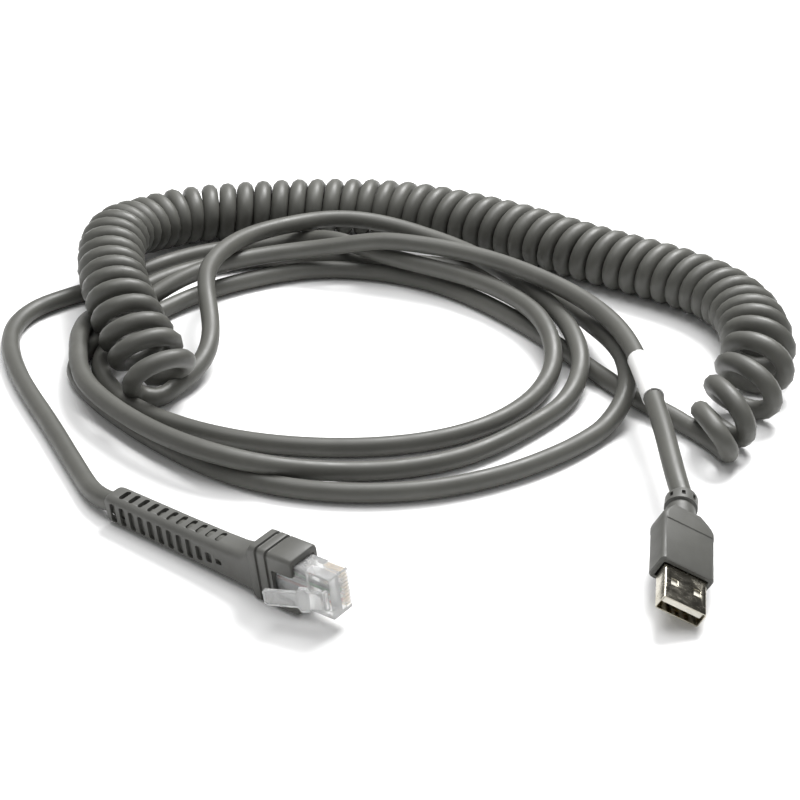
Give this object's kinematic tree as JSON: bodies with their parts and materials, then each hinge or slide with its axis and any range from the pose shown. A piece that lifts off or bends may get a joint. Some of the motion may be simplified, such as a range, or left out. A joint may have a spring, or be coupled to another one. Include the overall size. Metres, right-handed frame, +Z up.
{
  "type": "coiled interface cable",
  "caption": "Coiled interface cable of a handheld scanner: clear modular plug with a slotted boot, round grey cord with a curly section, label sleeve and type A plug.",
  "frame": {"origin": "on the table, under the middle of the lying cable's bounding box", "axes": "+Z up from the table, -Y towards the side where both plugs point, +X to the right when seen from the plugs' side"},
  "size_m": [0.2346, 0.2466, 0.0261],
  "materials": {
    "grey_jacket": "satin",
    "grey_mould": "matte",
    "clear_plastic": "clear moulded plastic",
    "gold_plate": "bright gold plate",
    "nickel_plate": "nickel plate",
    "black_plastic": "matte",
    "cream_plastic": "matte",
    "white_label": "satin film",
    "tinned_wire": "tinned copper",
    "wire_red": "gloss",
    "wire_white": "gloss",
    "wire_green": "gloss",
    "wire_black": "gloss"
  },
  "bodies": {
    "cable": {"modular_housing": "clear_plastic", "jacket_clamp_bar": "clear_plastic", "contact_01": "gold_plate", "contact_02": "gold_plate", "contact_03": "gold_plate", "contact_04": "gold_plate", "contact_05": "gold_plate", "contact_06": "gold_plate", "contact_07": "gold_plate", "contact_08": "gold_plate", "contact_09": "gold_plate", "contact_10": "gold_plate", "conductor_red": "wire_red", "conductor_white": "wire_white", "conductor_green": "wire_green", "conductor_black": "wire_black", "drain_wire": "tinned_wire", "boot_overmould": "grey_mould", "boot_filler_block": "black_plastic", "cord_inside_boot": "grey_jacket", "lead_modular_side": "grey_jacket", "curly_section": "grey_jacket", "lead_usb_side": "grey_jacket", "label_wrap": "white_label", "usb_overmould": "grey_mould", "cord_inside_usb_plug": "grey_jacket", "crimp_ferrule": "nickel_plate", "usb_wire_red": "wire_red", "usb_wire_white": "wire_white", "usb_wire_green": "wire_green", "usb_wire_black": "wire_black", "usb_inner_mould": "black_plastic", "usb_tongue": "cream_plastic", "usb_contact_1": "gold_plate", "usb_contact_2": "gold_plate", "usb_contact_3": "gold_plate", "usb_contact_4": "gold_plate", "usb_shell": "nickel_plate"},
    "latch": {"latch_tab": "clear_plastic"}
  },
  "joints": [
    {"name": "latch_flex", "type": "hinge", "parent": "cable", "child": "latch", "pos_m": [-0.01541, -0.12261, 0.00938], "axis": [0.1122, 0.0308, -0.9932], "range_deg": [0, 12], "stiffness_Nm_per_rad": 0.05}
  ]
}
